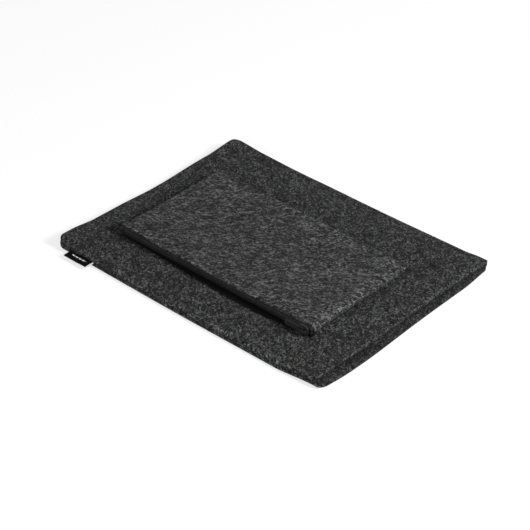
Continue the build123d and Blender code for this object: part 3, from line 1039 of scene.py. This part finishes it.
def strip(name, line, material, node):
    """A band of cloth that follows a line in y and z and runs along x, painted palest where it is
    highest and darkest low down: painted light and shade.
    """
    centre = [Vector((0, y, z)) for y, z in line]
    outline = beside(centre, TAPE_THICKNESS / 2) + beside(centre, -TAPE_THICKNESS / 2)[::-1]
    count = int((TAPE_HIGH.x - TAPE_LOW.x) / TAPE_STEP)
    vertices, rings, wear_and_shading = [], [], []
    for j in range(count + 1):
        x = TAPE_LOW.x + (TAPE_HIGH.x - TAPE_LOW.x) * j / count
        hang = math.sin(math.pi * (j / count) ** TAPE_SWELL_SKEW)
        ring = []
        for point in outline:
            place = Vector((x / (9 * MM), point.z / (6 * MM), 2.0))
            ripple = TAPE_RIPPLE * noise.noise(place)
            below = (ZIP_Z - TAPE_SWELL_START - point.z) / MM
            swell = TAPE_SWELL * hang * float(smoothstep(below))
            ring.append(len(vertices))
            vertices.append(Vector((x, point.y + ripple - swell, point.z)))
            # painted light on the upper tape, painted shade on the lower one
            height = (point.z - ZIP_Z) / TAPE_SHADING_REACH
            wear_and_shading.append(float(np.clip(height, *TAPE_SHADING_RANGE)))
        rings.append(ring)
    faces = skin(rings) + end_faces(rings[0]) + end_faces(rings[-1])
    band = add_mesh(name, vertices, faces, material, "pouch", wear_and_shading=wear_and_shading)
    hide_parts(node)


def coil_turns(low):
    """How many turns a coil has, from its start to under the slider's far end."""
    return int((SLIDER_HIGH.x - COIL_END_INSET - low.x) / COIL_PITCH)


def zip_coil(row, nylon):
    """One row of coil turns, each a flattened loop of round nylon, tilted like a screw thread."""
    side, low, high = COILS[row]
    outer_z = high.z if side > 0 else low.z
    head_z = ZIP_Z - side * COIL_OVERLAP
    middle_z = (outer_z + head_z) / 2
    half_z = abs(outer_z - head_z) / 2 - COIL_WIRE
    middle_y = (low.y + high.y) / 2
    half_y = (high.y - low.y) / 2 - COIL_WIRE
    shift = 0.0 if side > 0 else COIL_PITCH / 2
    path = []
    for step in range(coil_turns(low) * COIL_POINTS):
        turn = step / COIL_POINTS
        angle = 2 * math.pi * turn
        x = low.x + shift + COIL_PITCH * (turn + COIL_LEAN * math.sin(2 * angle))
        y = middle_y + half_y * math.sin(angle)
        z = middle_z - side * half_z * math.cos(angle)
        path.append((x, y, z))
    vertices, faces = tube(path, COIL_WIRE, sides=6)
    coil = add_mesh(row + "_zip_coil_turns", vertices, faces, nylon, "pouch")
    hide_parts(row + "_zip_coil")


def coil_stitching(row, thread):
    """The thread that crosses the coil's turns and ties them to the tape."""
    side, low, high = COILS[row]
    outer_z = high.z if side > 0 else low.z
    path = []
    for step in range(coil_turns(low) * COIL_THREAD_POINTS):
        turn = step / COIL_THREAD_POINTS
        dip = 0.5 - 0.5 * math.cos(2 * math.pi * turn)
        y = low.y - COIL_THREAD_PROUD + COIL_THREAD_DIP * dip
        sway = COIL_THREAD_SWAY * math.sin(2 * math.pi * turn)
        z = outer_z - side * (COIL_THREAD_INSET + sway)
        path.append((low.x + COIL_PITCH * turn, y, z))
    vertices, faces = tube(path, COIL_THREAD, sides=5)
    name = row + "_coil_stitch_row"
    row_of_thread = add_mesh(name, vertices, faces, thread, "pouch")
    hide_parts(row + "_coil_stitching")


WELD_DISTANCE = 0.001 * MM
SHARP_ANGLE = math.radians(40)  # edges sharper than this are rounded


def dress_cad(node, material, bevel=0.0):
    """Gives a CAD node its material, and rounds its edges if it has a bevel."""
    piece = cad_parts[node]
    piece.data.materials.clear()
    piece.data.materials.append(material)
    if bevel > 0:
        weld = piece.modifiers.new("weld", "WELD")
        weld.merge_threshold = WELD_DISTANCE
        rounding = piece.modifiers.new("rounded_edges", "BEVEL")
        rounding.width = bevel
        rounding.segments = 2
        rounding.limit_method = "ANGLE"
        rounding.angle_limit = SHARP_ANGLE
        rounding.harden_normals = True


# ---- floor, lights, camera ----

FRAME_PIXELS = 530
FOCAL_PIXELS = 1826.0
CAMERA_ELEVATION = 35.0
CAMERA_AZIMUTH = 42.2 - 90.0  # 42.2 degrees round from the front, -Y, towards +X
CAMERA_DISTANCE = 1.822
CAMERA_TARGET = Vector((0.0029, -0.0146, 0.0))
CAMERA_REACH = 20.0  # how far off the camera still shows things
SENSOR_WIDTH = 36.0
FLOOR_GLOW = 0.685
FLOOR_SIZE = 8.0
FLOOR_DROP = 0.2 * MM  # keeps the floor just clear of the sleeve
ROOM_LIGHT = 0.50
LIGHT_DISTANCE = 2.5


def make_floor(material):
    bpy.ops.mesh.primitive_plane_add(size=FLOOR_SIZE, location=(0, 0, -FLOOR_DROP))
    floor = bpy.context.object
    floor.name = "floor"
    floor.data.materials.append(material)


def aim(name, data, target, distance, azimuth, elevation):
    """A lamp or camera that looks at the target; azimuth 0 is +X and 90 degrees is +Y."""
    azimuth, elevation = math.radians(azimuth), math.radians(elevation)
    level = math.cos(elevation)
    back = Vector((math.cos(azimuth) * level, math.sin(azimuth) * level, math.sin(elevation)))
    thing = bpy.data.objects.new(name, data)
    thing.location = target + back * distance
    thing.rotation_euler = back.to_track_quat("Z", "Y").to_euler()
    bpy.context.collection.objects.link(thing)
    return thing


def area_light(name, power, size, azimuth, elevation):
    """A square soft light aimed at the middle of the sleeve."""
    data = bpy.data.lights.new(name, "AREA")
    data.energy = power
    data.size = size
    aim(name, data, Vector((0, 0, 0)), LIGHT_DISTANCE, azimuth, elevation)


def make_lights():
    world = bpy.data.worlds.new("studio")
    bpy.context.scene.world = world
    world.use_nodes = True
    background = world.node_tree.nodes["Background"]
    background.inputs["Color"].default_value = (1, 1, 1, 1)
    background.inputs["Strength"].default_value = ROOM_LIGHT
    area_light("key", power=87.0, size=0.56, azimuth=12, elevation=34)
    area_light("fill", power=33.0, size=1.2, azimuth=-80, elevation=20)


def make_camera():
    data = bpy.data.cameras.new("camera")
    data.sensor_width = SENSOR_WIDTH
    data.lens = FOCAL_PIXELS / FRAME_PIXELS * data.sensor_width
    data.clip_end = CAMERA_REACH
    bpy.context.scene.camera = aim(
        "camera", data, CAMERA_TARGET, CAMERA_DISTANCE, CAMERA_AZIMUTH, CAMERA_ELEVATION
    )


# ---- build ----

tape_look = tape_material()
nylon_look = nylon_material()
thread_look = thread_material()
metal_look = metal_material()

sleeve_look = felt_material(
    "sleeve_felt_melange",
    shade=0.0285,
    tint=(0.98, 1.02, 1.0, 1),
    grain_angle=2.2,
    drawn=1.0,
    contrast=1.95,
)
sleeve = make_sleeve(sleeve_look)
for node, side in (("near_seam_thread", -1), ("far_seam_thread", 1)):
    seam_stitches(sleeve, side, node, "sleeve", thread_look)
make_label(sleeve, label_material())
pouch_look = felt_material(
    "pouch_felt_melange",
    shade=0.036,
    tint=(1.0, 1.0, 1.0, 1),
    grain_angle=0.5,
    drawn=1.4,
    contrast=1.8,
)
pouch = make_pouch(pouch_look)
for node, side in (("pouch_left_seam_thread", -1), ("pouch_right_seam_thread", 1)):
    seam_stitches(pouch, side, node, "pouch", thread_look)
for row in COILS:
    zip_tape(row, tape_look)
    zip_coil(row, nylon_look)
    coil_stitching(row, thread_look)
    dress_cad(row + "_coil_cord", tape_look)
    dress_cad(row + "_tape_stitches", thread_look)
for node in ("zip_top_stops", "zip_bottom_stop"):
    dress_cad(node, metal_look, bevel=0.15 * MM)
for node in ("slider_body", "pull_tab"):
    dress_cad(node, metal_look, bevel=0.2 * MM)

make_floor(floor_material())
make_lights()
make_camera()
bpy.context.scene.view_settings.view_transform = "Standard"
